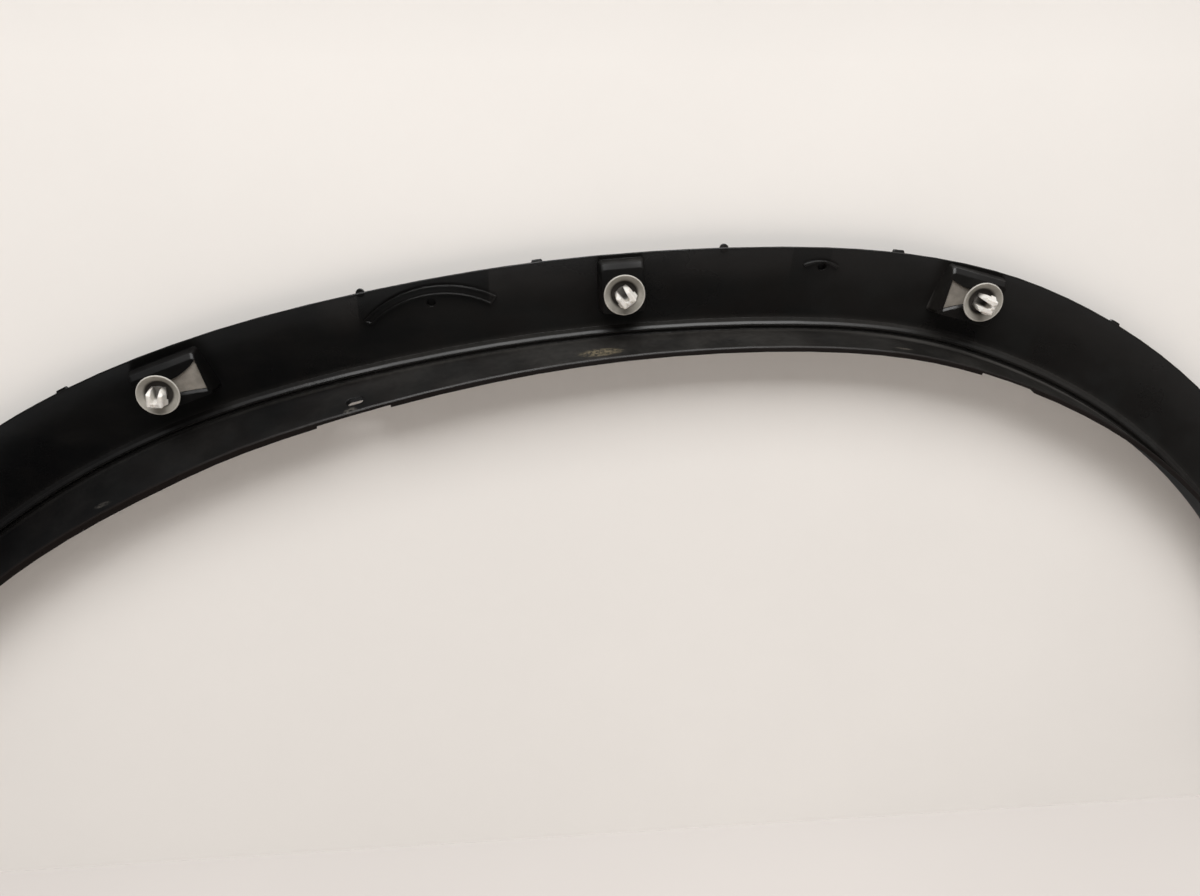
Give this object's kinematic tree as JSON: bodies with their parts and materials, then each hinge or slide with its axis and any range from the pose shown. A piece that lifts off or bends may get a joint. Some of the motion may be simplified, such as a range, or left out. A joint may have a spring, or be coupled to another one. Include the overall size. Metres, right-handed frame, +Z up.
{
  "type": "wheel arch trim",
  "caption": "Arched black plastic trim for a wheel opening, with a stepped inner flange, moulded clip houses, push-in clips and sealing cups on its inboard face.",
  "frame": {"origin": "on the centre clip's axis, in the plane where the sealing cups meet the body panel", "axes": "+X along the vehicle, +Y outboard toward the visible face, +Z up; the clips point inboard and lean 9 degrees toward the wheel"},
  "size_m": [0.8803, 0.0264, 0.327],
  "materials": {
    "moulding": "satin moulded black",
    "clip": "natural white",
    "seal": "soft grey"
  },
  "bodies": {
    "root": {"arch_trim": "moulding", "slide_clips": "clip", "centre_clip": "clip", "clip_seals": "seal"}
  },
  "joints": []
}
